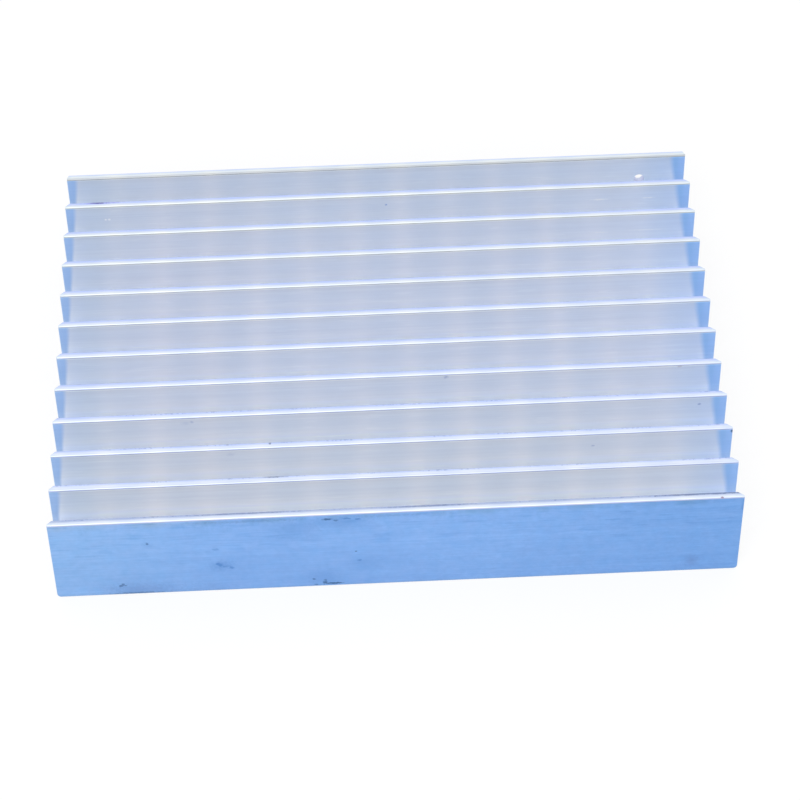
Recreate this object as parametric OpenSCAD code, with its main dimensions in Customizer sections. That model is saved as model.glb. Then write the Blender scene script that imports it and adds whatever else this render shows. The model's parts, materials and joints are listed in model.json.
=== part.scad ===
// Extruded aluminium heat sink: straight tapered fins standing on a flat base plate, one
// constant section sawn square to length, with one small hole drilled through the rear fin.
// The origin is the middle of the underside. +X runs along the fins, +Y across them towards
// the drilled fin, and +Z up out of the base plate.

/* [Extrusion] */
// Length of the sawn piece, along the fins
cut_length = 150; // [60:5:400]
// Height from the underside to the fin tips
overall_height = 23.8; // [18:0.1:40]
// Thickness of the base plate under the channels
base_t = 5; // [3:0.5:8]
// Radius of the two long lower edges of the base plate
base_edge_r = 0.3; // [0.1:0.1:1.4]

/* [Fins] */
// Number of fins
fin_count = 12; // [3:1:20]
// Distance from the middle of one fin to the next
fin_pitch = 10.1; // [9:0.1:16]
// Thickness of a fin at its tip
fin_tip_t = 1.7; // [1.3:0.1:2.5]
// Draft angle of a fin's tapered side, in degrees
fin_draft = 1; // [0.2:0.1:1.6]
// Radius of both edges of a fin tip
fin_tip_r = 0.4; // [0.1:0.05:0.6]
// Radius where a fin runs into the base plate
fin_root_r = 0.9; // [0.3:0.1:1.6]

/* [Sawn ends] */
// Radius filed along the lower edge of each sawn end
end_edge_r = 1.1; // [0.2:0.1:1.4]

/* [Drilled hole] */
// Diameter of the hole through the rear fin
hole_d = 2.4; // [1.5:0.1:4]
// Distance from the right sawn end to the middle of the hole
hole_inset = 11; // [4:0.5:30]
// Distance from the fin tips down to the middle of the hole
hole_drop = 6.8; // [3:0.1:9]

/* [Hidden] */
$fn = 48;
// Distance from the middle line to the middle of an end fin's tip
fin_reach = (fin_count - 1) * fin_pitch / 2;
// Width across all the fins, and of the base plate
overall_width = 2 * fin_reach + fin_tip_t;
// How far a fin's section is carried down into the base plate, so that the two are one
root_bite = base_t / 2;
// How far a cutting tool runs past the face that it starts from
tool_run = 1;

// The corner that a radius of r takes off a square edge at the origin, open to +X and +Y
module edge_round(r) {
    difference() {
        translate([-tool_run, -tool_run])
            square(r + tool_run);
        translate([r, r])
            circle(r);
    }
}

// One half of a fin's section, on the +X side of the fin's middle line. The side leans in
// by draft from the root to the tip, and root_r fills the corner with the base plate.
module half_fin(draft, root_r) {
    tip_centre = [fin_tip_t / 2 - fin_tip_r, overall_height - fin_tip_r];
    side_top = tip_centre + fin_tip_r * [cos(draft), sin(draft)];
    side_foot = [side_top.x + (side_top.y - base_t) * tan(draft), base_t];
    polygon([
        [0, base_t - root_bite],
        [side_foot.x, base_t - root_bite],
        side_foot,
        side_top,
        tip_centre,
        [tip_centre.x, overall_height],
        [0, overall_height]
    ]);
    translate(tip_centre)
        circle(fin_tip_r);
    if (root_r > 0)
        root_fillet(side_foot, draft, root_r);
}

// The metal between a fin's side, the top of the base plate and an arc that touches both
module root_fillet(foot, draft, r) {
    reach = r * tan(45 - draft / 2);
    arc_centre = foot + [reach, r];
    difference() {
        polygon([
            foot - [0, root_bite],
            foot + [reach, -root_bite],
            foot + [reach, 0],
            arc_centre,
            foot + reach * [-sin(draft), cos(draft)],
            foot
        ]);
        translate(arc_centre)
            circle(r);
    }
}

// A fin's section. The first and last fins are straight on their outer side, where they
// stand flush with the edge of the base plate.
module fin(number) {
    translate([number * fin_pitch - fin_reach, 0]) {
        if (number < fin_count - 1)
            half_fin(fin_draft, fin_root_r);
        else
            half_fin(0, 0);
        mirror([1, 0])
            if (number > 0)
                half_fin(fin_draft, fin_root_r);
            else
                half_fin(0, 0);
    }
}

// The base plate's section, with its two lower edges rounded
module base_plate() {
    difference() {
        translate([-overall_width / 2, 0])
            square([overall_width, base_t]);
        for (side = [0, 1])
            mirror([side, 0])
                translate([-overall_width / 2, 0])
                    edge_round(base_edge_r);
    }
}

// The whole section that the die gives the bar, across X and up Y
module die_section() {
    base_plate();
    for (number = [0 : fin_count - 1])
        fin(number);
}

// The radius filed along the lower edge of both sawn ends
module end_rounding() {
    for (side = [0, 1])
        mirror([side, 0, 0])
            translate([-cut_length / 2, overall_width / 2 + tool_run, 0])
                rotate([90, 0, 0])
                    linear_extrude(overall_width + 2 * tool_run)
                        edge_round(end_edge_r);
}

// The hole drilled straight through the rear fin
module rear_fin_hole() {
    translate([cut_length / 2 - hole_inset, fin_reach + fin_pitch / 2, overall_height - hole_drop])
        rotate([90, 0, 0])
            cylinder(d = hole_d, h = fin_pitch);
}

module heat_sink() {
    color([0.72, 0.77, 0.86])
        difference() {
            translate([-cut_length / 2, 0, 0])
                rotate([90, 0, 90])
                    linear_extrude(cut_length)
                        die_section();
            end_rounding();
            rear_fin_hole();
        }
}

heat_sink();
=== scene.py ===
"""Dresses an extruded aluminium heat sink: twelve straight tapered fins on a flat base plate.

The bar is rebuilt with Geometry Nodes from the sizes of its section, so that its sawn ends and its
drilled hole get the small broken edges of the real piece. Each kind of surface then gets its own
finish: the drawn channel walls, the outer walls, the fin tips, the sawn ends, the underside and the
drilled hole. Lengths are in metres, with +X along the fins, +Y towards the drilled fin and +Z up,
and the materials measure in millimetres.
"""

from __future__ import annotations

import json
import logging
import math
from abc import ABC, abstractmethod
from dataclasses import dataclass
from enum import Enum
from functools import cached_property, partial, reduce
from typing import ClassVar, Sequence, Union

import bpy
from mathutils import Matrix, Vector

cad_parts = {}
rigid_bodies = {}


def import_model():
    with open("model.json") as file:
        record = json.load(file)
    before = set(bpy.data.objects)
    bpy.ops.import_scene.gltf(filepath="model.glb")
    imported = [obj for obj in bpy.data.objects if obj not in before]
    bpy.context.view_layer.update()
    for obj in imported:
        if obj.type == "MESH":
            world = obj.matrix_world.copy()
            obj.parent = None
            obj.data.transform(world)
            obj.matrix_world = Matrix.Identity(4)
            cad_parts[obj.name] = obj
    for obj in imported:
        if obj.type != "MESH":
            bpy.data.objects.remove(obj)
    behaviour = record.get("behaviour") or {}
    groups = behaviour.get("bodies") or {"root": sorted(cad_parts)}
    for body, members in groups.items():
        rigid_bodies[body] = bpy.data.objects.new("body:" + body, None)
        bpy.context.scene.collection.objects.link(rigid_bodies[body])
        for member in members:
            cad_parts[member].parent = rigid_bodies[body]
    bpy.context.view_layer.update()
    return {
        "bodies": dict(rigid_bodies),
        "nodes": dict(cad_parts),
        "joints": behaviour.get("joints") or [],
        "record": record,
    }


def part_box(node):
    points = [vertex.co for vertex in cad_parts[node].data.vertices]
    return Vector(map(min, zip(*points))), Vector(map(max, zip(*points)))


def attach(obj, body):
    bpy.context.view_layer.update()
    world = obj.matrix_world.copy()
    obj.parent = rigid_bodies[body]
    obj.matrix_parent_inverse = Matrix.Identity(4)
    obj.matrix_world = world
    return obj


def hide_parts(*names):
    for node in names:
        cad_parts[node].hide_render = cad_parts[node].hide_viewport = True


LOG = logging.getLogger("heat_sink")
MM = 0.001

Socket = bpy.types.NodeSocket
Sockets = bpy.types.NodeOutputs
Feed = Union[Socket, bpy.types.Material, float, int, bool, Sequence[float]]
Feeds = dict[Union[str, int], Feed]
Triple = tuple[float, float, float]
Colour = Triple
Look = Union[Colour, float]

WHITE: Colour = (1.0, 1.0, 1.0)
EVEN: Triple = (1.0, 1.0, 1.0)


def tint(red: int, green: int, blue: int) -> Colour:
    """Turns a colour given in display values into the linear values that shaders take.

    Args:
        red: Red from 0 to 255.
        green: Green from 0 to 255.
        blue: Blue from 0 to 255.

    Returns:
        The linear colour.
    """

    def linear(value: int) -> float:
        """Gives the linear value of one display value."""
        share = value / 255
        return share / 12.92 if share <= 0.04045 else ((share + 0.055) / 1.055) ** 2.4

    return linear(red), linear(green), linear(blue)


class Zone(Enum):
    """The kinds of surface that the piece has, each with a finish of its own."""

    CHANNEL = "channel_wall"
    OUTER = "outer_wall"
    TIP = "fin_tip"
    SAWN = "sawn_end"
    UNDERSIDE = "underside"
    DRILLED = "drilled_hole"


Finishes = dict[Zone, bpy.types.Material]


class Wiring:
    """Adds nodes to one node tree and joins their sockets."""

    def __init__(self, tree: bpy.types.NodeTree) -> None:
        """Keeps the tree that the nodes go into."""
        self.tree = tree

    def add(self, kind: str, feeds: Feeds | None = None, **settings: object) -> bpy.types.Node:
        """Adds a node, sets its properties and feeds its inputs.

        Args:
            kind: The node's type, such as ShaderNodeMath.
            feeds: What goes into each input, by the input's name or number.
            settings: The node's own properties.

        Returns:
            The new node.
        """
        node = self.tree.nodes.new(kind)
        for name, value in settings.items():
            setattr(node, name, value)
        for key, feed in (feeds or {}).items():
            self.feed(node.inputs[key], feed)
        return node

    def feed(self, socket: Socket, value: Feed) -> None:
        """Links another socket to an input, or sets the input's own value.

        Args:
            socket: The input.
            value: A socket to link, or a value to set.
        """
        if isinstance(value, Socket):
            self.tree.links.new(value, socket)
        elif socket.type == "RGBA":
            socket.default_value = (*value, 1.0)
        else:
            socket.default_value = value

    def out(self, kind: str, feeds: Feeds | None = None, **settings: object) -> Socket:
        """Adds a node and returns its first output."""
        return self.add(kind, feeds, **settings).outputs[0]

    def math(self, operation: str, *values: Feed) -> Socket:
        """Adds a Math node and returns its output."""
        return self.out("ShaderNodeMath", dict(enumerate(values)), operation=operation)

    def times(self, *factors: Feed) -> Socket:
        """Multiplies numbers with one another."""
        return reduce(partial(self.math, "MULTIPLY"), factors)

    def vector(self, operation: str, *values: Feed) -> Socket:
        """Adds a Vector Math node and returns its vector output."""
        return self.out("ShaderNodeVectorMath", dict(enumerate(values)), operation=operation)

    def join(self, x: Feed, y: Feed, z: Feed) -> Socket:
        """Makes one vector from three numbers."""
        return self.out("ShaderNodeCombineXYZ", {0: x, 1: y, 2: z})

    def split(self, vector: Socket) -> list[Socket]:
        """Gives the three numbers of a vector."""
        return list(self.add("ShaderNodeSeparateXYZ", {0: vector}).outputs)

    def between(self, value: Feed, near: Feed, far: Feed, start: Feed = 0.0, end: Feed = 1.0) -> Socket:
        """Goes smoothly from start to end while a value goes from near to far, up or down."""
        feeds = {0: value, 1: near, 2: far, 3: start, 4: end}
        return self.out("ShaderNodeMapRange", feeds, interpolation_type="SMOOTHSTEP")

    def blend(self, share: Feed, first: Feed, second: Feed) -> Socket:
        """Mixes two colours, where a share of 1 is the second one alone."""
        return self.add("ShaderNodeMix", {0: share, 6: first, 7: second}, data_type="RGBA").outputs[2]

    def noise(
        self, place: Feed, scale: Feed, detail: float = 2.0, roughness: float = 0.5, stretch: Triple = EVEN
    ) -> Socket:
        """Adds a noise from 0 to 1, where stretch multiplies each coordinate of the place first."""
        grain = {"Scale": scale, "Detail": detail, "Roughness": roughness}
        return self.out("ShaderNodeTexNoise", {"Vector": self.vector("MULTIPLY", place, stretch), **grain})

    def ripple(self, place: Feed, scale: Feed, *shape: float, stretch: Triple = EVEN) -> Socket:
        """Adds a noise that goes from about -1 to about 1."""
        return self.math("MULTIPLY_ADD", self.noise(place, scale, *shape, stretch=stretch), 4.0, -2.0)

    def tones(self, colour: Feed, *layers: tuple[Feed, Colour]) -> Feed:
        """Makes a colour lighter or darker, one layer after another.

        Args:
            colour: The colour.
            layers: How far each layer goes, where 1 is its whole amount and -1 the same the other
                way, with the share by which each of red, green and blue grows.

        Returns:
            The changed colour.
        """
        for swing, amount in layers:
            factor = self.vector("MULTIPLY_ADD", swing, amount, EVEN)
            colour = self.vector("MULTIPLY", colour, factor)
        return colour

    def bump(self, height: Feed, depth: float, strength: float) -> Socket:
        """Turns a height into a normal, where depth is in millimetres for a height of 1."""
        feeds = {"Height": height, "Distance": depth * MM, "Strength": strength}
        return self.out("ShaderNodeBump", feeds)


@dataclass(frozen=True)
class Section:
    """The die section of the bar and the cuts made in it, in metres."""

    length: float
    width: float
    height: float
    hole_centre: Vector
    hole_radius: float
    fin_count: int = 12
    base: float = 5 * MM
    tip: float = 1.7 * MM
    draft: float = math.radians(1)
    tip_radius: float = 0.4 * MM
    root_radius: float = 0.9 * MM
    base_edge_radius: float = 0.3 * MM
    end_edge_radius: float = 1.1 * MM
    broken_edge: float = 0.1 * MM
    left_corner_cut: float = 1.2 * MM
    right_corner_cut: float = 1.6 * MM
    rear_corner_share: float = 0.4
    corner_cut_across: float = 1.2 * MM
    corner_cut_down: float = 2.5 * MM

    @classmethod
    def from_frame(cls, frame: dict) -> Section:
        """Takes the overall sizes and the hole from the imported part.


        Returns:
            The section.
        """
        low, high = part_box("heat_sink")
        size = high - low
        hole = next(m for m in frame["record"]["mounts"] if m["name"] == "rear_fin_hole")
        return cls(size.x, size.y, size.z, Vector(hole["pos_m"]), hole["dims"]["r_mm"] * MM)

    @property
    def pitch(self) -> float:
        """Distance from one fin to the next."""
        return (self.width - self.tip) / (self.fin_count - 1)

    @property
    def half_tip(self) -> float:
        """Half the thickness of a fin at its tip."""
        return self.tip / 2

    @property
    def tip_corner(self) -> float:
        """Distance from a fin's middle to where its leaning side would meet the tip's plane."""
        return self.half_tip - self.tip_radius * (1 - 1 / math.cos(self.draft) + math.tan(self.draft))

    @property
    def root_corner(self) -> float:
        """Distance from a fin's middle to where its leaning side meets the base plate."""
        return self.tip_corner + (self.height - self.base) * math.tan(self.draft)

    def fin(self, number: int) -> float:
        """Place of a fin's middle across the bar, where the rear fin is 0."""
        return ((self.fin_count - 1) / 2 - number) * self.pitch


class BarTree(Wiring):
    """The Geometry Nodes tree that makes the bar, with one named input for each size."""

    SIZES = (
        *("length", "fin_count", "pitch", "height", "base", "half_tip", "tip_corner", "root_corner"),
        *("tip_radius", "root_radius", "base_edge_radius", "end_edge_radius", "hole_radius"),
        *("left_corner_cut", "right_corner_cut", "rear_corner_share"),
        *("corner_cut_across", "corner_cut_down"),
    )
    ARC_STEPS = 8
    HOLE_STEPS = 48
    ROUGH_SHARE = 1.2

    def __init__(self, section: Section, finishes: Finishes) -> None:
        """Builds the tree.

        Args:
            section: The sizes of the bar.
            finishes: The material of each kind of surface.
        """
        super().__init__(bpy.data.node_groups.new("finned_bar", "GeometryNodeTree"))
        self.section = section
        self.finishes = finishes
        self.sizes = {name.replace("_", " ").title(): getattr(section, name) for name in self.SIZES}
        self.tree.interface.new_socket("Geometry", in_out="OUTPUT", socket_type="NodeSocketGeometry")
        for name, value in self.sizes.items():
            kind = "NodeSocketInt" if isinstance(value, int) else "NodeSocketFloat"
            self.tree.interface.new_socket(name, in_out="INPUT", socket_type=kind)
        self.size = self.add("NodeGroupInput").outputs
        self.add("NodeGroupOutput", {0: self._dress(self._cut(self._form()))})

    def give_sizes(self, modifier: bpy.types.NodesModifier) -> None:
        """Puts the tree and the bar's sizes into a modifier.

        Args:
            modifier: The modifier that shall make the bar.
        """
        modifier.node_group = self.tree
        for item in self.tree.interface.items_tree:
            if item.name in self.sizes:
                modifier[item.identifier] = self.sizes[item.name]

    def _form(self) -> Socket:
        """Draws the bar's section out and cuts it to length.

        Returns:
            The bar before it is drilled.
        """
        size = self.size
        rough_length = self.times(size["Length"], self.ROUGH_SHARE)
        rough_width = self.times(size["Pitch"], size["Fin Count"], self.ROUGH_SHARE)
        along, across = (math.pi / 2, 0, math.pi / 2), (math.pi / 2, 0, math.pi)
        bar = self._prism(self._die_outline(), rough_length, along, Zone.CHANNEL)
        side = self._prism(self._side_outline(), rough_width, across, Zone.SAWN)
        cut_to_length = self.add("GeometryNodeMeshBoolean", operation="INTERSECT", solver="EXACT")
        for prism in (bar, side):
            self.feed(cut_to_length.inputs["Mesh 2"], prism)
        return cut_to_length.outputs["Mesh"]

    def _cut(self, bar: Socket) -> Socket:
        """Drills the bar and takes the corners off its fins.

        Args:
            bar: The bar, cut to length.

        Returns:
            The finished form.
        """
        for tool in (self._drill(), self._corner_files()):
            feeds = {"Mesh 1": bar, "Mesh 2": tool}
            cut = self.add("GeometryNodeMeshBoolean", feeds, operation="DIFFERENCE", solver="EXACT")
            bar = cut.outputs["Mesh"]
        return self.out("GeometryNodeRealizeInstances", {0: bar})

    def _fin_middle(self, fin: Feed) -> Socket:
        """Gives the place of a fin's middle across the bar, where the rear fin is 0."""
        middle = self.times(self.math("SUBTRACT", self.size["Fin Count"], 1), 0.5)
        return self.times(self.math("SUBTRACT", middle, fin), self.size["Pitch"])

    def _outermost(self, index: Feed, corners: Feed, count: int) -> Socket:
        """Gives 1 for the first and the last few corners of the outline, and 0 for the rest."""
        last = self.math("GREATER_THAN", index, self.math("SUBTRACT", corners, count + 0.5))
        return self.math("MAXIMUM", self.math("LESS_THAN", index, count - 0.5), last)

    def _die_outline(self) -> Socket:
        """Draws the section's outline, with four corners to a fin, from the rear fin forward.

        Returns:
            The closed curve, in the XY plane.
        """
        size = self.size
        corners = self.times(size["Fin Count"], 4)
        line = self.out("GeometryNodeMeshLine", {"Count": corners})
        curve = self.out("GeometryNodeMeshToCurve", {"Mesh": line})
        index = self.out("GeometryNodeInputIndex")
        fin = self.math("FLOOR", self.math("DIVIDE", index, 4))
        corner = self.math("SUBTRACT", index, self.times(fin, 4))
        outer_foot = self._outermost(index, corners, 1)
        outer_side = self._outermost(index, corners, 2)
        at_tip = self.math("COMPARE", corner, 1.5, 0.75)
        facing = self.math("MULTIPLY_ADD", self.math("LESS_THAN", corner, 1.5), 2, -1)
        leaning = self._either(at_tip, size["Tip Corner"], size["Root Corner"])
        half = self._either(outer_side, size["Half Tip"], leaning)
        across = self.math("ADD", self._fin_middle(fin), self.times(half, facing))
        foot = self._either(outer_foot, 0.0, size["Base"])
        place = self.join(across, self._either(at_tip, size["Height"], foot), 0.0)
        placed = self.out("GeometryNodeSetPosition", {"Geometry": curve, "Position": place})
        closed = self.out("GeometryNodeSetSplineCyclic", {"Geometry": placed, "Cyclic": True})
        foot_radius = self._either(outer_foot, size["Base Edge Radius"], size["Root Radius"])
        return self._round_corners(closed, self._either(at_tip, size["Tip Radius"], foot_radius))

    def _side_outline(self) -> Socket:
        """Draws the bar as seen from its side, with the filed lower corners of the sawn ends.

        Returns:
            The closed curve, in the XY plane.
        """
        size = self.size
        feeds = {"Width": size["Length"], "Height": self.times(size["Height"], 2)}
        sheet = self.out("GeometryNodeCurvePrimitiveQuadrilateral", feeds)
        feeds = {"Geometry": sheet, "Offset": self.join(0.0, size["Height"], 0.0)}
        raised = self.out("GeometryNodeSetPosition", feeds)
        up = self.split(self.out("GeometryNodeInputPosition"))[1]
        low = self.math("LESS_THAN", up, size["Height"])
        return self._round_corners(raised, self.times(low, size["End Edge Radius"]))

    def _round_corners(self, curve: Feed, radius: Feed) -> Socket:
        """Rounds each corner of a curve by its own radius."""
        feeds = {"Curve": curve, "Count": self.ARC_STEPS, "Radius": radius}
        return self.out("GeometryNodeFilletCurve", feeds, mode="POLY")

    def _either(self, test: Feed, yes: Feed, no: Feed) -> Socket:
        """Gives one number where a test is 1 and another where it is 0."""
        feeds = {"Switch": test, "True": yes, "False": no}
        return self.out("GeometryNodeSwitch", feeds, input_type="FLOAT")

    def _prism(self, outline: Feed, depth: Feed, turn: Sequence[float], zone: Zone) -> Socket:
        """Fills an outline and draws it out evenly to both sides of its plane.

        Args:
            outline: The closed curve, in the XY plane.
            depth: The prism's whole length.
            turn: The rotation that brings the prism into the row frame.
            zone: The kind of surface that the prism leaves on the piece.

        Returns:
            The closed mesh.
        """
        face = self.out("GeometryNodeFillCurve", {"Curve": outline}, mode="NGONS")
        offset = self.join(0.0, 0.0, depth)
        feeds = {"Mesh": face, "Offset": offset, "Offset Scale": 1.0, "Individual": False}
        drawn = self.out("GeometryNodeExtrudeMesh", feeds, mode="FACES")
        back = self.out("GeometryNodeFlipFaces", {"Mesh": face})
        parts = self.add("GeometryNodeJoinGeometry")
        for part in (drawn, back):
            self.feed(parts.inputs[0], part)
        feeds = {"Geometry": parts.outputs[0], "Distance": MM / 1000}
        shell = self.out("GeometryNodeMergeByDistance", feeds)
        feeds = {"Geometry": shell, "Translation": self.join(0.0, 0.0, self.times(depth, -0.5))}
        centred = self.out("GeometryNodeTransform", feeds)
        turned = self.out("GeometryNodeTransform", {"Geometry": centred, "Rotation": turn})
        return self._finished(turned, zone)

    def _finished(self, form: Feed, zone: Zone, test: Feed = True) -> Socket:
        """Gives the faces that pass a test the material of one kind of surface."""
        feeds = {"Geometry": form, "Selection": test, "Material": self.finishes[zone]}
        return self.out("GeometryNodeSetMaterial", feeds)

    def _drill(self) -> Socket:
        """Makes the drill that goes through the rear fin alone.

        Returns:
            The cylinder, on the hole's axis.
        """
        size, turn = self.size, (math.pi / 2, 0, 0)
        feeds = {"Vertices": self.HOLE_STEPS, "Radius": size["Hole Radius"], "Depth": size["Pitch"]}
        bit = self.add("GeometryNodeMeshCylinder", feeds).outputs["Mesh"]
        feeds = {"Geometry": bit, "Translation": self.section.hole_centre[:], "Rotation": turn}
        return self._finished(self.out("GeometryNodeTransform", feeds), Zone.DRILLED)

    def _corner_files(self) -> Socket:
        """Places a file at the rear top corner of each fin, at both sawn ends.

        Returns:
            The blocks that take the corners off.
        """
        size = self.size
        points = self.out("GeometryNodePoints", {"Count": self.times(size["Fin Count"], 2)})
        index = self.out("GeometryNodeInputIndex")
        fin = self.math("FLOOR", self.math("DIVIDE", index, 2))
        at_right = self.math("SUBTRACT", index, self.times(fin, 2))
        side = self.math("MULTIPLY_ADD", at_right, 2, -1)
        full = self._either(at_right, size["Right Corner Cut"], size["Left Corner Cut"])
        share = self._either(self.math("LESS_THAN", fin, 0.5), size["Rear Corner Share"], 1.0)
        along = self.times(full, share)
        across, down = size["Corner Cut Across"], size["Corner Cut Down"]
        end = self.math("MULTIPLY_ADD", size["Length"], 0.5, self.times(along, -0.5))
        rear = self.math("MULTIPLY_ADD", across, -0.5, size["Half Tip"])
        rear = self.math("ADD", self._fin_middle(fin), rear)
        corner = self.join(self.times(end, side), rear, size["Height"])
        steep = [self.math("DIVIDE", way, cut) for way, cut in ((side, along), (1, across), (1, down))]
        outward = self.vector("NORMALIZE", self.join(*steep))
        block = self.times(size["Pitch"], 0.5)
        reach = self.times(block, 0.5)
        lift = self.vector("MULTIPLY", outward, self.join(reach, reach, reach))
        place = self.vector("ADD", corner, lift)
        turn = self.out("FunctionNodeAlignRotationToVector", {"Vector": outward}, axis="Z")
        cube = self.add("GeometryNodeMeshCube", {"Size": self.join(block, block, block)}).outputs["Mesh"]
        placed = self.out("GeometryNodeSetPosition", {"Geometry": points, "Position": place})
        feeds = {"Points": placed, "Instance": self._finished(cube, Zone.SAWN), "Rotation": turn}
        copies = self.out("GeometryNodeInstanceOnPoints", feeds)
        return self.out("GeometryNodeRealizeInstances", {0: copies})

    def _dress(self, bar: Feed) -> Socket:
        """Gives each face the material of its kind of surface.

        Args:
            bar: The finished form.

        Returns:
            The form with its materials.
        """
        size = self.size
        sliver = 0.02 * MM
        _, across, up = self.split(self.out("GeometryNodeInputPosition"))
        side = self.section.width / 2 - sliver
        outer = self.math("GREATER_THAN", self.math("ABSOLUTE", across), side)
        low = self.math("LESS_THAN", up, sliver)
        high = self.math("GREATER_THAN", up, self.math("SUBTRACT", size["Height"], size["Tip Radius"]))
        for zone, test in {Zone.OUTER: outer, Zone.UNDERSIDE: low, Zone.TIP: high}.items():
            bar = self._finished(bar, zone, test)
        return bar


@dataclass
class FinnedBar:
    """The one piece of the heat sink."""

    section: Section
    finishes: Finishes
    sharp_angle: float = math.radians(40)

    def build(self) -> bpy.types.Object:
        """Makes the bar's mesh and dresses it.

        Returns:
            The finished object, at the origin.
        """
        carrier = bpy.data.objects.new("heat_sink_bar", bpy.data.meshes.new("heat_sink_bar"))
        bpy.context.scene.collection.objects.link(carrier)
        bar = BarTree(self.section, self.finishes)
        bar.give_sizes(carrier.modifiers.new("bar", "NODES"))
        self._settle(carrier)
        self._break_edges(carrier)
        bpy.data.node_groups.remove(bar.tree)
        return carrier

    def _settle(self, carrier: bpy.types.Object) -> None:
        """Turns what the modifiers make into the object's own plain mesh.

        Args:
            carrier: The object that holds the modifiers.
        """
        evaluated = carrier.evaluated_get(bpy.context.evaluated_depsgraph_get())
        mesh = bpy.data.meshes.new_from_object(evaluated)
        carrier.modifiers.clear()
        old = carrier.data
        carrier.data = mesh
        bpy.data.meshes.remove(old)
        mesh.name = carrier.name

    def _break_edges(self, carrier: bpy.types.Object) -> None:
        """Breaks the sharp sawn and drilled edges by a hair, and evens out the shading.

        Args:
            carrier: The bar.
        """
        bevel = carrier.modifiers.new("broken_edges", "BEVEL")
        bevel.limit_method = "ANGLE"
        bevel.angle_limit = self.sharp_angle
        bevel.width = self.section.broken_edge
        bevel.segments = 2
        bevel.use_clamp_overlap = False
        weighted = carrier.modifiers.new("even_shading", "WEIGHTED_NORMAL")
        weighted.weight = 100
        weighted.keep_sharp = False
        carrier.data.shade_smooth()
        self._settle(carrier)


class Effect(Wiring, ABC):
    """A group of shader nodes that several finishes share, built once and then reused."""

    NAME: ClassVar[str]
    VECTORS: ClassVar[tuple[str, ...]] = ("Place",)
    NUMBERS: ClassVar[tuple[str, ...]]
    RESULTS: ClassVar[tuple[str, ...]]

    def __init__(self) -> None:
        """Builds the group with its named inputs and outputs."""
        super().__init__(bpy.data.node_groups.new(self.NAME, "ShaderNodeTree"))
        ways = (("INPUT", "Vector", self.VECTORS), ("INPUT", "Float", self.NUMBERS))
        for way, kind, names in (*ways, ("OUTPUT", "Float", self.RESULTS)):
            for name in names:
                self.tree.interface.new_socket(name, in_out=way, socket_type=f"NodeSocket{kind}")
        self.given = self.add("NodeGroupInput").outputs
        self.add("NodeGroupOutput", self.results())

    @abstractmethod
    def results(self) -> Feeds:
        """Builds the inside of the group and gives what each output shows."""

    @classmethod
    def use(cls, wire: Wiring, **feeds: Feed) -> Sockets:
        """Adds the group to a material.

        Args:
            wire: The material's nodes.
            feeds: What goes into each named input.

        Returns:
            The group's outputs.
        """
        group = bpy.data.node_groups.get(cls.NAME) or cls().tree
        named = {name.replace("_", " ").title(): feed for name, feed in feeds.items()}
        return wire.add("ShaderNodeGroup", named, node_tree=group).outputs


class DieLines(Effect):
    """Fine straight lines that the die draws along the bar, each output from -1 to 1."""

    NAME = "die_lines"
    NUMBERS = ("Per Millimetre",)
    RESULTS = ("Lines", "Streaks")
    STRETCHES = ((0.004, 1.0, 1.0), (0.06, 0.6, 0.6))

    def results(self) -> Feeds:
        """Stretches one noise along the bar for the lines, and a shorter one for the streaks."""
        noise = partial(self.ripple, self.given["Place"], self.given["Per Millimetre"], 3.0, 0.6)
        return {name: noise(stretch=way) for name, way in zip(self.RESULTS, self.STRETCHES)}


class Dashes(Effect):
    """A mask of sparse short dashes along the bar, covering about the given share of it."""

    NAME = "dashes"
    NUMBERS = ("Share",)
    RESULTS = ("Mask",)

    def results(self) -> Feeds:
        """Keeps only the peaks of a stretched noise.

        Returns:
            What each output shows.
        """
        peaks = self.noise(self.given["Place"], 1.1, 1.0, 0.5, (0.12, 1.0, 1.0))
        start = self.math("MULTIPLY_ADD", self.given["Share"], -0.8, 0.72)
        return {"Mask": self.between(peaks, start, self.math("ADD", start, 0.1))}


class ChatterBands(Effect):
    """Faint upright bands at an even spacing along the bar, from about -1 to about 1."""

    NAME = "chatter_bands"
    NUMBERS = ("Period", "First")
    RESULTS = ("Bands",)

    def results(self) -> Feeds:
        """Makes a wave along X with narrow peaks, and lets its strength wander a little.

        Returns:
            What each output shows.
        """
        place = self.given["Place"]
        way = self.math("SUBTRACT", self.split(place)[0], self.given["First"])
        wave = self.math("COSINE", self.times(self.math("DIVIDE", way, self.given["Period"]), math.tau))
        peaked = self.math("MULTIPLY_ADD", self.math("MULTIPLY_ADD", wave, wave, -0.5), 0.25, wave)
        wander = self.noise(place, 0.08, stretch=(1.0, 0.3, 0.3))
        return {"Bands": self.times(peaked, self.between(wander, 0.2, 0.8, 0.5, 1.5))}


class EndBands(Effect):
    """Two masks that rise from 0 to 1 towards the left and the right sawn end."""

    NAME = "end_bands"
    NUMBERS = ("Half Length", "Left Start", "Right Start", "Sharpness")
    RESULTS = ("Left", "Right")

    def results(self) -> Feeds:
        """Measures the way to each end, where Sharpness is the share of the band that stays full.

        Returns:
            What each output shows.
        """
        along = self.split(self.given["Place"])[0]
        masks: Feeds = {}
        for name, operation in {"Left": "ADD", "Right": "SUBTRACT"}.items():
            reach = self.math(operation, self.given["Half Length"], along)
            start = self.given[f"{name} Start"]
            masks[name] = self.between(reach, start, self.times(start, self.given["Sharpness"]))
        return masks


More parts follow.
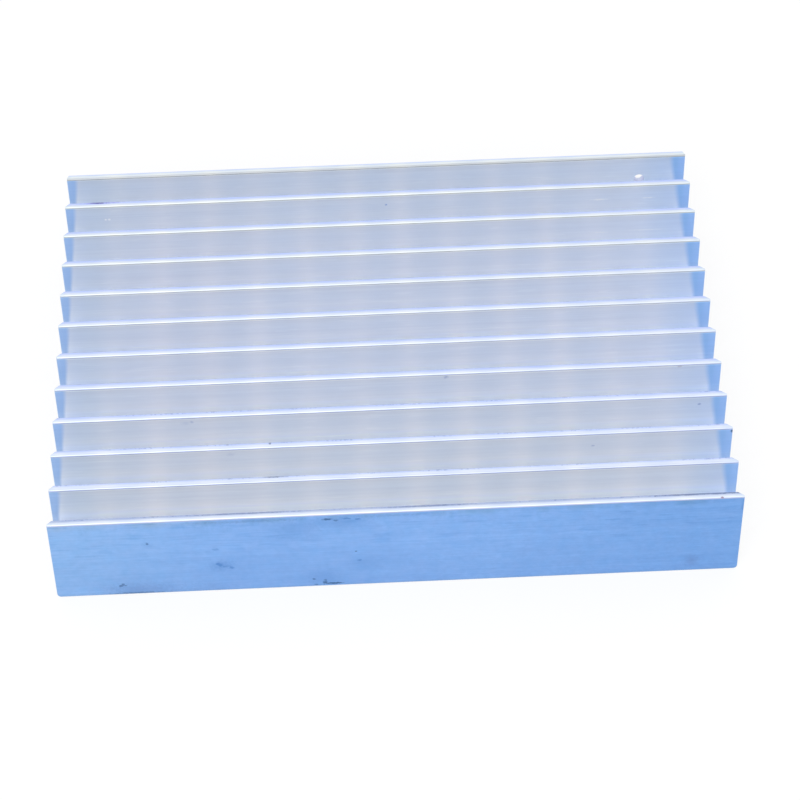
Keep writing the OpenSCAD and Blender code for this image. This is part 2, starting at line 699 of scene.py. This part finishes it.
class Spot(Effect):
    """A mask that is 1 inside a ragged blob around one place and 0 outside it."""

    NAME = "spot"
    VECTORS = ("Place", "Centre", "Half Size")
    NUMBERS = ("Ragged", "Soft")
    RESULTS = ("Mask",)

    def results(self) -> Feeds:
        """Measures the way to the centre in half sizes and shakes it with a noise.

        Returns:
            What each output shows.
        """
        place, soft = self.given["Place"], self.given["Soft"]
        away = self.vector("SUBTRACT", place, self.given["Centre"])
        away = self.vector("DIVIDE", away, self.given["Half Size"])
        distance = self.add("ShaderNodeVectorMath", {0: away}, operation="LENGTH").outputs["Value"]
        shake = self.ripple(place, 1.6, 2.0, 0.6)
        shaken = self.math("MULTIPLY_ADD", shake, self.given["Ragged"], distance)
        rim, inside = self.math("ADD", 1.0, soft), self.math("SUBTRACT", 1.0, soft)
        return {"Mask": self.between(shaken, rim, inside)}


class FinPlace(Effect):
    """Tells which fin a place is on, from 0 at the rear, and how far it is from that fin's middle."""

    NAME = "fin_place"
    NUMBERS = ("Pitch", "Rear Fin")
    RESULTS = ("Number", "Across")

    def results(self) -> Feeds:
        """Counts pitches forward from the rear fin.

        Returns:
            What each output shows.
        """
        pitch = self.given["Pitch"]
        forward = self.math("SUBTRACT", self.given["Rear Fin"], self.split(self.given["Place"])[1])
        number = self.math("ROUND", self.math("DIVIDE", forward, pitch))
        return {"Number": number, "Across": self.math("SUBTRACT", self.times(number, pitch), forward)}


class Paint(Wiring):
    """The nodes of one finish, with what they measure at each place on the piece, in millimetres."""

    CHATTER_PERIOD = 11.45
    FIRST_CHATTER = 5.3

    def __init__(self, tree: bpy.types.NodeTree, section: Section) -> None:
        """Starts from the place on the piece.

        Args:
            tree: The material's tree.
            section: The sizes of the bar.
        """
        super().__init__(tree)
        self.section = section
        metres = self.add("ShaderNodeTexCoord").outputs["Object"]
        self.place = self.vector("MULTIPLY", metres, (1 / MM, 1 / MM, 1 / MM))
        self.along, self.across, self.up = self.split(self.place)

    @cached_property
    def depth(self) -> Socket:
        """Depth below the fin tips."""
        return self.math("SUBTRACT", self.section.height / MM, self.up)

    @cached_property
    def fin(self) -> Sockets:
        """Number of the fin, from 0 at the rear, and the way rearward from its middle."""
        pitch, rear = self.section.pitch / MM, self.section.fin(0) / MM
        return FinPlace.use(self, place=self.place, pitch=pitch, rear_fin=rear)

    @cached_property
    def bands(self) -> Socket:
        """Faint upright bands, from about -1 to about 1."""
        spacing = {"period": self.CHATTER_PERIOD, "first": self.FIRST_CHATTER}
        return ChatterBands.use(self, place=self.place, **spacing)["Bands"]

    def ends(self, left: Feed, right: Feed, sharpness: float) -> list[Socket]:
        """Gives the masks of the left and the right end band, each as wide as told."""
        starts = {"half_length": self.section.length / MM / 2, "left_start": left, "right_start": right}
        return list(EndBands.use(self, place=self.place, sharpness=sharpness, **starts))

    def lines(self, per_millimetre: float) -> list[Socket]:
        """Gives the long lines of the die and its shorter streaks."""
        return list(DieLines.use(self, place=self.place, per_millimetre=per_millimetre))

    def dashes(self, share: float) -> Socket:
        """Gives the mask of the short dashes that cover a share of the wall."""
        return Dashes.use(self, place=self.place, share=share)["Mask"]


SOOT, GRIME, STAIN = tint(72, 106, 148), tint(98, 146, 209), tint(105, 135, 190)
# The last colour on the next line is a painted shadow, used for the gap behind the front fin's tip.
SLATE, PALE_SLATE, GAP_SHADOW = tint(90, 110, 155), tint(120, 135, 170), tint(90, 108, 150)
LILAC, VIOLET, RUST = tint(160, 165, 235), tint(80, 82, 160), tint(110, 50, 70)
PALE, GREY, ROSE = tint(250, 251, 253), tint(100, 115, 150), tint(150, 115, 130)


@dataclass(frozen=True)
class Mark:
    """One small mark on the piece, in millimetres.

    Attributes:
        centre: Its middle.
        half_size: Half its length along each axis.
        colour: What it turns the metal into.
        share: How strongly it covers.
        soft: How gently it fades at its rim.
        ragged: How uneven its rim is.
    """

    centre: Triple
    half_size: Triple
    colour: Colour
    share: float
    soft: float = 0.5
    ragged: float = 0.5

    def over(self, paint: Paint, colour: Feed) -> Socket:
        """Lays the mark over a colour.

        Args:
            paint: The finish's nodes.
            colour: The colour.

        Returns:
            The marked colour.
        """
        form = {"centre": self.centre, "half_size": self.half_size}
        spot = Spot.use(paint, place=paint.place, ragged=self.ragged, soft=self.soft, **form)["Mask"]
        return paint.blend(paint.times(spot, self.share), colour, self.colour)


@dataclass(frozen=True)
class Finish(ABC):
    """A finish of bare aluminium on one kind of surface."""

    ZONE: ClassVar[Zone]
    MARKS: ClassVar[tuple[tuple[Look, ...], ...]] = ()
    section: Section
    roughness: float = 0.5
    metallic: float = 0.6

    @abstractmethod
    def surface(self, paint: Paint) -> Feeds:
        """Builds what the shader shows at each place, by the names of its inputs."""

    def mark(self, *row: Look) -> Mark:
        """Makes a mark out of a row of MARKS, in millimetres, whose last values are a Mark's own look."""
        raise NotImplementedError

    def material(self) -> bpy.types.Material:
        """Makes the material.

        Returns:
            The material, with its marks over its colour.
        """
        material = bpy.data.materials.new(self.ZONE.value)
        material.use_nodes = True
        paint = Paint(material.node_tree, self.section)
        feeds = {"Roughness": self.roughness, "Metallic": self.metallic, **self.surface(paint)}
        for row in self.MARKS:
            feeds["Base Color"] = self.mark(*row).over(paint, feeds["Base Color"])
        shader = material.node_tree.nodes["Principled BSDF"]
        for name, feed in feeds.items():
            paint.feed(shader.inputs[name], feed)
        return material


@dataclass(frozen=True)
class ChannelFinish(Finish):
    """The drawn walls between the fins: pale, with fine die lines and faint bands, a painted reflection
    that lightens them with depth, a painted glow, a painted highlight under the tips and painted blue
    reflections at the ends.
    """

    ZONE = Zone.CHANNEL
    roughness: float = 0.6
    # The fin, the place along it and up it, the width and height, then the mark's look
    MARKS = (
        (1, -65.7, 19.6, 0.6, 0.6, PALE, 1.0),
        (1, -64.8, 19.6, 0.6, 0.6, PALE, 1.0),
        (1, 53.3, 19.7, 3.4, 0.45, PALE, 0.9, 0.8),
        (1, 65.0, 19.7, 2.6, 0.4, PALE, 0.7, 0.8),
        (2, 52.5, 18.3, 3.4, 0.4, PALE, 0.6, 0.8),
        (2, 63.3, 18.6, 6.0, 0.4, PALE, 0.5, 0.8),
        (1, 1.8, 20.7, 0.5, 0.4, GRIME, 0.6),
        (8, 68.9, 21.3, 0.7, 0.6, STAIN, 0.5),
        (9, 74.9, 22.9, 0.8, 0.8, SOOT, 1.0),
        (7, 12.9, 22.9, 0.9, 0.8, STAIN, 0.4),
        (9, 44.2, 20.1, 0.7, 0.5, STAIN, 0.35),
        (8, -44.2, 22.3, 0.8, 0.6, STAIN, 0.3),
        (8, -45.7, 21.9, 1.4, 0.8, STAIN, 0.15, 1.0),
        (9, -35.6, 22.1, 1.4, 0.9, STAIN, 0.14, 1.0),
        (7, 65.6, 23.2, 1.0, 0.5, ROSE, 0.3),
    )

    def surface(self, paint: Paint) -> Feeds:
        """Lays a painted reflection that lightens the wall with depth, the painted blue reflections at the
        ends, the bands, the lines, a painted glow and a painted highlight.

        Args:
            paint: The finish's nodes.

        Returns:
            What goes into each named input of the shader.
        """
        between, times = paint.between, paint.times
        along, depth, number = paint.along, paint.depth, paint.fin["Number"]
        # Painted glow: a band low on the visible wall, where the next tip starts to hide it, is painted
        # lighter and bluer.
        glow = times(between(depth, 6.2, 8.5), between(depth, 10.5, 9.0))
        front = times(between(number, 6.0, 10.0), paint.math("SUBTRACT", 1.0, glow))
        # Painted reflection and shade: towards both sawn ends the wall is painted darker and bluer,
        # standing in for blue surroundings reflected there.
        broad_left, broad_right = paint.ends(20.0, 17.0, 0.1)
        front_right = times(between(along, 45.0, 62.0), between(number, 3.5, 6.0))
        # Painted shade: darker still within a few millimetres of each end.
        near = paint.math("MAXIMUM", *paint.ends(7.5, 8.0, 0.35))
        # Painted reflection: the wall is painted lighter with depth below the tip.
        colour = paint.blend(between(depth, 0.3, 3.0), tint(221, 226, 236), tint(227, 233, 244))
        colour = paint.blend(between(depth, 3.0, 7.5), colour, tint(242, 245, 252))
        colour = paint.tones(
            colour,
            (between(number, 3.0, 0.0), (-0.02, -0.01, -0.01)),
            (glow, (0.04, 0.06, 0.10)),
            (front, (0.0, -0.005, -0.025)),
            (times(between(number, 9.2, 9.8), glow), (0.018, 0.014, 0.012)),
            (broad_left, (-0.13, -0.09, -0.065)),
            (broad_right, (-0.15, -0.085, -0.02)),
            (between(along, -20.0, -48.0), (0.0, -0.007, -0.011)),
            (front_right, (0.0, -0.006, -0.008)),
            (near, (-0.042, -0.038, -0.01)),
        )
        # Painted reflection: the blue bands at both ends, widest near the tip and fading with depth.
        wide_left, wide_right = between(depth, 0.0, 10.0, 2.9, 1.8), between(depth, 0.0, 10.0, 4.2, 2.8)
        left, right = paint.ends(wide_left, wide_right, 0.56)
        fade = between(depth, 5.0, 17.0, 1.0, 0.35)
        colour = paint.blend(times(left, fade), colour, tint(161, 192, 233))
        colour = paint.blend(times(right, fade), colour, tint(155, 192, 239))
        inner = times(right, between(along, 74.0, 73.0), between(depth, 2.0, 7.0, 1.3, 0.5))
        shallow = between(depth, 12.0, 17.0, 1.0, 0.35)
        lines, streaks = paint.lines(1.8)
        # Painted highlight: the top of each wall, just under the tip, is painted lighter, and more so on
        # the middle fins.
        painted_shine = between(depth, 0.8, 0.35)
        middle_fins = times(between(number, 2.2, 4.8, 0.3, 1.0), between(number, 7.8, 7.2))
        colour = paint.tones(
            colour,
            (inner, (-0.06, -0.02, -0.03)),
            (times(paint.bands, shallow), (0.032, 0.019, 0.009)),
            (times(between(paint.bands, 0.4, 1.1), glow), (0.02, 0.02, 0.012)),
            (lines, (0.03, 0.03, 0.022)),
            (streaks, (0.015, 0.015, 0.012)),
            (paint.dashes(0.12), (0.035, 0.03, 0.02)),
            (painted_shine, (0.16, 0.13, 0.05)),
            (times(painted_shine, middle_fins), (0.12, 0.10, 0.04)),
        )
        return {"Base Color": colour}

    def mark(self, fin: int, along: float, up: float, wide: float, tall: float, *look: Look) -> Mark:
        """Puts a mark on the front face of a fin, counted from the rear."""
        return Mark((along, self.section.fin(fin) / MM - 1, up), (wide / 2, 1.0, tall / 2), *look)


@dataclass(frozen=True)
class OuterFinish(Finish):
    """The outer walls of the first and last fins: satin, painted blue-grey as a reflection of blue
    surroundings and lighter towards the left, with soft mottling and marks.
    """

    ZONE = Zone.OUTER
    roughness: float = 0.4
    metallic: float = 1.0
    # The place along the wall and up it, the width and height, then the mark's look
    MARKS = (
        (-54, 16.6, 0.6, 0.7, SOOT, 0.7),
        (-54, 16.2, 2.0, 2.0, GRIME, 0.2),
        (-60.9, 3.0, 0.7, 0.6, SOOT, 0.8),
        (-60.3, 3.4, 0.7, 0.7, SOOT, 0.7),
        (-59.8, 3.0, 0.6, 0.4, SOOT, 0.6),
        (-56, 1.2, 14, 4, STAIN, 0.35, 0.8),
        (-57, 0.4, 10, 0.6, SOOT, 0.5),
        (-41, 1.2, 8, 2.5, STAIN, 0.2, 1.0),
        (-33, 22.6, 18, 0.6, SOOT, 0.22, 0.8, 1.3),
        (-2, 22.6, 16, 0.5, SOOT, 0.16, 0.8, 1.3),
        (-38.2, 8.4, 4.5, 2.6, GRIME, 0.5, 0.8),
        (-39.2, 9.0, 0.9, 0.7, GRIME, 1.0),
        (-38.6, 8.6, 1.1, 1.0, GRIME, 1.0),
        (-37.7, 8.1, 1.2, 0.5, GRIME, 0.7),
        (-36.2, 7.6, 0.9, 0.7, GRIME, 0.9),
        (-39.5, 13.8, 1.2, 0.8, GRIME, 0.5),
        (-14.9, 22.2, 2.0, 0.7, SOOT, 1.0),
        (-13.1, 21.7, 0.9, 0.5, SOOT, 0.7),
        (-10.8, 22.2, 1.8, 0.5, GRIME, 1.0),
        (-8.3, 21.9, 1.2, 0.6, GRIME, 1.0),
        (-12, 21.3, 12, 3.0, GRIME, 0.35, 1.0),
        (-22, 19, 8, 5.0, GRIME, 0.3, 1.0),
        (-9, 11.3, 0.45, 0.4, SOOT, 0.8),
        (-8.2, 8.3, 0.9, 0.6, GRIME, 0.9),
        (-7, 7, 6.0, 4.0, GRIME, 0.18, 1.0),
        (-18.5, 2.5, 0.7, 0.6, SOOT, 0.8),
        (-18, 0.7, 0.9, 0.4, SOOT, 0.6),
        (-14.2, 0.9, 3.4, 0.5, SOOT, 1.0),
        (-16, 1.2, 1.1, 0.9, SOOT, 0.9),
        (-16, 2.1, 0.7, 0.6, SOOT, 0.6),
        (-16, 3, 7, 4.0, GRIME, 0.3, 1.0),
        (64.8, 3.4, 2.2, 3.0, STAIN, 0.4, 1.0),
        (74.9, 20.8, 0.7, 3.0, GRIME, 0.6, 0.8),
        (50, 20.6, 3.0, 0.4, GRIME, 0.5, 0.8),
        (46, 18.2, 4.0, 0.4, GRIME, 0.4, 0.8),
        (58, 19.0, 3.0, 0.4, GRIME, 0.4, 0.8),
        (53, 16.0, 3.0, 0.4, GRIME, 0.35, 0.8),
    )

    def surface(self, paint: Paint) -> Feeds:
        """Lays the painted reflection and light that fade from the left end to the right, the mottling and
        the lines.

        Args:
            paint: The finish's nodes.

        Returns:
            What goes into each named input of the shader.
        """
        between, times, ripple = paint.between, paint.times, paint.ripple
        place, along, up, depth = paint.place, paint.along, paint.up, paint.depth
        # Painted reflection and light: the blue of the wall stands in for blue surroundings reflected in
        # it, and it is painted lighter towards the left end, where more light falls.
        colour = paint.blend(between(along, -75.0, -30.0), tint(148, 190, 242), tint(138, 181, 239))
        colour = paint.blend(between(along, 10.0, 75.0), colour, tint(125, 171, 231))
        patchy = paint.noise(place, 0.09, 3.0, 0.6, (1.0, 0.0, 0.0))
        blotches = between(paint.noise(place, 0.4, 4.0, 0.7), 0.48, 0.68)
        blotches = times(blotches, between(depth, 1.0, 7.0, 1.0, 0.3), between(along, 5.0, 25.0, 1.0, 0.5))
        low = times(between(up, 16.0, 4.0), between(along, 30.0, 60.0, 1.0, 0.25))
        short = ripple(place, 1.8, 2.0, 0.7, stretch=(0.5, 1.0, 1.0))
        lines, streaks = paint.lines(1.2)
        fine_lines, fine_streaks = paint.lines(2.8)
        colour = paint.tones(
            colour,
            (times(between(depth, 2.8, 0.8), between(patchy, 0.4, 0.62)), (-0.10, -0.10, -0.16)),
            (times(between(depth, 2.6, 0.8), between(along, -32.0, -50.0)), (0.12, 0.03, -0.01)),
            (blotches, (-0.13, -0.08, -0.06)),
            (ripple(place, 0.3, 3.0, 0.6), (0.06, 0.005, -0.005)),
            (low, (-0.07, -0.06, -0.05)),
            (between(up, 1.2, 0.3), (-0.05, -0.05, -0.06)),
            (ripple(place, 0.16, 3.0, 0.55, stretch=(0.6, 1.0, 1.0)), (0.045, 0.03, 0.02)),
            (ripple(place, 0.8, 2.0, 0.6, stretch=(0.7, 1.0, 1.0)), (0.045, 0.035, 0.025)),
            (lines, (0.04, 0.03, 0.02)),
            (streaks, (0.04, 0.03, 0.02)),
            (fine_lines, (0.045, 0.035, 0.025)),
            (fine_streaks, (0.04, 0.03, 0.02)),
            (times(short, between(along, -10.0, 30.0, 0.4, 1.0)), (0.06, 0.045, 0.03)),
            (times(paint.dashes(0.2), between(up, 8.0, 16.0)), (-0.11, -0.07, -0.04)),
        )
        return {"Base Color": colour}

    def mark(self, along: float, up: float, wide: float, tall: float, *look: Look) -> Mark:
        """Puts a mark on the front wall."""
        return Mark((along, -self.section.width / 2 / MM, up), (wide / 2, 2.0, tall / 2), *look)


@dataclass(frozen=True)
class TipFinish(Finish):
    """The fin tips: a painted white highlight along their front half, a painted pale blue sheen behind it.
    """

    ZONE = Zone.TIP
    roughness: float = 0.45
    # The fin, the place along it and across it, the width and depth, then the mark's look
    MARKS = (
        (1, -66.6, 0.45, 8.0, 0.6, LILAC, 0.8),
        (1, -67.0, 0.45, 3.4, 0.5, VIOLET, 0.9),
        (11, 70.1, -0.68, 0.8, 0.25, RUST, 0.7),
        (9, -26.9, 0.5, 0.5, 0.7, SLATE, 0.9),
        (9, -36.2, 0.5, 0.6, 0.5, PALE_SLATE, 0.5),
        (10, -26.2, 0.55, 4.5, 0.4, GREY, 0.8),
        # The last three rows are a painted shadow in the gap behind the front fin's tip.
        (11, -33.0, 0.42, 19.0, 0.3, GAP_SHADOW, 0.6),
        (11, 6.5, 0.38, 18.0, 0.4, GAP_SHADOW, 0.5),
        (11, 66.0, 0.5, 20.0, 0.5, GAP_SHADOW, 0.75),
    )

    def surface(self, paint: Paint) -> Feeds:
        """Parts the painted highlight from the painted blue sheen of the rest of the tip, and paints shade
        on its lower side.

        Args:
            paint: The finish's nodes.

        Returns:
            What goes into each named input of the shader.
        """
        between, times = paint.between, paint.times
        number, across = paint.fin["Number"], paint.fin["Across"]
        last_fin = self.section.fin_count - 1
        front_fin, rear_fin = between(number, last_fin - 0.8, last_fin - 0.2), between(number, 0.8, 0.2)
        towards_front = between(number, 1.0, 9.0)
        own = paint.vector("ADD", paint.place, paint.join(times(number, 61.0), 0.0, 0.0))
        wander = paint.ripple(own, 0.12, 3.0, 0.6, stretch=(1.0, 0.0, 0.0))
        edge = paint.math("MULTIPLY_ADD", wander, 0.1, across)
        middle_fins, front_fins = between(number, 1.5, 4.0), between(number, 7.4, 10.2)
        for fins, way in ((rear_fin, 0.45), (middle_fins, 0.1), (front_fins, 0.3), (front_fin, -0.25)):
            edge = paint.math("MULTIPLY_ADD", fins, -way, edge)
        # Painted light: the rear of the tip is painted a pale blue sheen, darker on the front fin, and its
        # front half a white highlight where the rounded front edge catches the lamp.
        behind = paint.blend(front_fin, tint(189, 204, 246), tint(168, 183, 218))
        white = paint.blend(towards_front, tint(219, 227, 236), tint(217, 226, 243))
        colour = paint.blend(between(edge, 0.3, -0.5), behind, white)
        colour = paint.tones(colour, (times(front_fin, between(across, 0.5, 0.7)), (0.18, 0.17, 0.15)))
        # Painted shade: the front rounding of each tip below its top, and the front edge of the rear fin
        # and of the fins near the front, take a darker colour.
        lower = paint.blend(towards_front, tint(190, 193, 190), tint(174, 182, 212))
        lower = paint.blend(rear_fin, lower, tint(168, 171, 177))
        painted_front_shade = paint.math("MAXIMUM", times(rear_fin, 0.9), between(number, 7.5, 10.5, 0.0, 0.5))
        painted_front_shade = times(painted_front_shade, paint.math("SUBTRACT", 1.0, front_fin), between(across, -0.35, -0.7))
        rounded = times(between(paint.depth, 0.0, 0.25), between(across, 0.3, -0.3))
        colour = paint.blend(paint.math("MAXIMUM", rounded, painted_front_shade), colour, lower)
        left, right = paint.ends(1.6, 3.4, 0.3)
        cluster = between(paint.noise(own, 0.07, stretch=(1.0, 0.0, 0.0)), 0.45, 0.55)
        specks = times(between(paint.noise(own, 1.4, 2.0, 0.7), 0.52, 0.6), cluster)
        specks = times(specks, between(across, 0.2, 0.45), between(number, 7.2, 7.8))
        colour = paint.tones(
            colour,
            (paint.bands, (0.042, 0.028, 0.0)),
            (rear_fin, (0.03, 0.03, 0.0)),
            (left, (-0.08, -0.04, 0.0)),
            (right, (-0.08, -0.04, 0.0)),
            (paint.lines(2.5)[1], (0.05, 0.04, 0.03)),
            (specks, (-0.35, -0.3, -0.2)),
        )
        return {"Base Color": colour}

    def mark(self, fin: int, along: float, across: float, wide: float, deep: float, *look: Look) -> Mark:
        """Puts a mark on a fin's tip, where across is the way rearward from the fin's middle."""
        centre = (along, self.section.fin(fin) / MM + across, self.section.height / MM)
        return Mark(centre, (wide / 2, deep / 2, 1.0), *look)


@dataclass(frozen=True)
class SawnFinish(Finish):
    """The sawn ends: grey, with the upright marks of the blade."""

    ZONE = Zone.SAWN
    roughness: float = 0.55

    def surface(self, paint: Paint) -> Feeds:
        """Draws the blade's marks up the end, a little bowed.

        Args:
            paint: The finish's nodes.

        Returns:
            What goes into each named input of the shader.
        """
        middle = 12.0
        bow = paint.math("POWER", paint.math("SUBTRACT", paint.up, middle), 2.0)
        bowed = paint.math("MULTIPLY_ADD", bow, 0.004, paint.across)
        blade = paint.ripple(paint.join(paint.along, bowed, paint.times(paint.up, 0.02)), 1.8, 4.0, 0.65)
        patches = paint.ripple(paint.place, 0.09)
        colour = tint(214, 219, 228)
        colour = paint.tones(colour, (blade, (0.06, 0.06, 0.05)), (patches, (0.04, 0.03, 0.02)))
        return {"Base Color": colour, "Normal": paint.bump(blade, 0.02, 0.4)}


@dataclass(frozen=True)
class UndersideFinish(Finish):
    """The flat underside: satin grey with long die lines."""

    ZONE = Zone.UNDERSIDE

    def surface(self, paint: Paint) -> Feeds:
        """Lays the lines and a soft mottling.

        Args:
            paint: The finish's nodes.

        Returns:
            What goes into each named input of the shader.
        """
        lines, streaks = paint.lines(0.9)
        colour = paint.tones(
            tint(206, 216, 232),
            (lines, (0.05, 0.05, 0.04)),
            (streaks, (0.03, 0.03, 0.02)),
            (paint.ripple(paint.place, 0.06, 3.0), (0.03, 0.02, 0.02)),
        )
        return {"Base Color": colour, "Normal": paint.bump(lines, 0.01, 0.3)}


@dataclass(frozen=True)
class DrilledFinish(Finish):
    """The wall of the drilled hole: painted light, bright at its rear mouth, and fine rings of the drill.
    """

    ZONE = Zone.DRILLED

    def surface(self, paint: Paint) -> Feeds:
        """Paints light on the wall, brighter towards its rear mouth than at its front one.

        Args:
            paint: The finish's nodes.

        Returns:
            What goes into each named input of the shader.
        """
        centre = self.section.hole_centre.x / MM
        aside = paint.math("ABSOLUTE", paint.math("SUBTRACT", paint.along, centre))
        # Painted light: the middle of the wall towards the rear mouth is painted near white, where light
        # falls in.
        bright = paint.times(paint.between(paint.fin["Across"], 0.35, 0.7), paint.between(aside, 0.75, 0.3))
        colour = paint.blend(bright, tint(212, 218, 240), tint(250, 252, 255))
        rings = paint.ripple(paint.place, 3.0, stretch=(0.1, 1.0, 0.1))
        return {"Base Color": paint.tones(colour, (rings, (0.03, 0.03, 0.02)))}


@dataclass
class Studio:
    """The pale floor, the soft light and the camera."""

    section: Section
    azimuth: float = math.radians(-1.685)
    elevation: float = math.radians(46.317)
    roll: float = math.radians(-1.161)
    lens: float = 123.87
    distance_in_lengths: float = 4.3093
    slide_in_lengths: tuple[float, float] = (0.01934, -0.0026)
    floor_half: float = 4.0
    floor_drop: float = 0.05 * MM
    lamp_azimuth: float = math.radians(-12)
    lamp_elevation: float = math.radians(50)
    lamp_distance: float = 0.9
    lamp_size: float = 0.5
    lamp_power: float = 2.6

    def build(self) -> None:
        """Adds the floor, the world, the lamp and the camera."""
        self._floor()
        self._world()
        self._lamp()
        self._camera()

    def _floor(self) -> None:
        """Adds a plain white floor just under the piece."""
        mesh = bpy.data.meshes.new("floor")
        half = self.floor_half
        corners = [(-half, -half, 0), (half, -half, 0), (half, half, 0), (-half, half, 0)]
        mesh.from_pydata(corners, [], [(0, 1, 2, 3)])
        floor = bpy.data.objects.new("floor", mesh)
        bpy.context.scene.collection.objects.link(floor)
        floor.location.z = -self.floor_drop
        material = bpy.data.materials.new("white_floor")
        material.use_nodes = True
        material.node_tree.nodes.clear()
        wire = Wiring(material.node_tree)
        matt = wire.out("ShaderNodeBsdfDiffuse", {"Color": (0.9, 0.9, 0.9)})
        glow = wire.out("ShaderNodeEmission", {"Color": WHITE, "Strength": 1.0})
        path = wire.add("ShaderNodeLightPath").outputs
        mirrored = wire.math("MAXIMUM", path["Is Glossy Ray"], path["Is Transmission Ray"])
        seen = wire.times(wire.math("MAXIMUM", path["Is Camera Ray"], mirrored), 0.8)
        both = wire.out("ShaderNodeMixShader", {0: seen, 1: matt, 2: glow})
        wire.add("ShaderNodeOutputMaterial", {0: both})
        mesh.materials.append(material)

    @staticmethod
    def _world() -> None:
        """Surrounds the piece with plain white."""
        world = bpy.data.worlds.new("studio")
        world.use_nodes = True
        bpy.context.scene.world = world
        world.node_tree.nodes.clear()
        wire = Wiring(world.node_tree)
        sky = wire.out("ShaderNodeBackground", {"Color": WHITE, "Strength": 1.0})
        wire.add("ShaderNodeOutputWorld", {0: sky})

    @staticmethod
    def _towards(azimuth: float, elevation: float) -> Vector:
        """Gives the direction from the piece to a place in front of it and above it."""
        level = Vector((math.sin(azimuth), -math.cos(azimuth), 0)) * math.cos(elevation)
        return level + Vector((0, 0, math.sin(elevation)))

    def _lamp(self) -> None:
        """Adds one soft lamp in front of the piece, above it and a little to the left."""
        data = bpy.data.lights.new("key", "AREA")
        data.shape = "DISK"
        data.size = self.lamp_size
        data.energy = self.lamp_power
        lamp = bpy.data.objects.new("key", data)
        lamp.location = self._towards(self.lamp_azimuth, self.lamp_elevation) * self.lamp_distance
        lamp.rotation_euler = lamp.location.to_track_quat("Z", "Y").to_euler()
        bpy.context.scene.collection.objects.link(lamp)

    def _camera(self) -> None:
        """Places the camera in front of and above the piece."""
        away = self._towards(self.azimuth, self.elevation)
        level = Vector((math.cos(self.azimuth), math.sin(self.azimuth), 0))
        upward = level.cross(-away)
        right = math.cos(self.roll) * level + math.sin(self.roll) * upward
        top = math.cos(self.roll) * upward - math.sin(self.roll) * level
        slide_right, slide_up = self.slide_in_lengths
        place = away * self.distance_in_lengths + right * slide_right + top * slide_up
        data = bpy.data.cameras.new("camera")
        data.lens = self.lens
        camera = bpy.data.objects.new("camera", data)
        turn = Matrix((right, top, away)).transposed()
        camera.matrix_world = Matrix.Translation(place * self.section.length) @ turn.to_4x4()
        bpy.context.scene.collection.objects.link(camera)
        bpy.context.scene.camera = camera


def make_finishes(section: Section) -> Finishes:
    """Makes the material of each kind of surface."""
    kinds = (ChannelFinish, OuterFinish, TipFinish, SawnFinish, UndersideFinish, DrilledFinish)
    return {kind.ZONE: kind(section).material() for kind in kinds}


def main() -> None:
    """Builds the dressed heat sink and the studio around it."""
    logging.basicConfig(level=logging.INFO, format="%(name)s: %(message)s")
    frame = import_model()
    bpy.context.scene.view_settings.view_transform = "Standard"
    section = Section.from_frame(frame)
    finishes = make_finishes(section)
    bar = FinnedBar(section, finishes).build()
    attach(bar, "root")
    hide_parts("heat_sink")
    LOG.info("%s: %d faces", bar.name, len(bar.data.polygons))
    Studio(section).build()


if __name__ == "__main__":
    main()
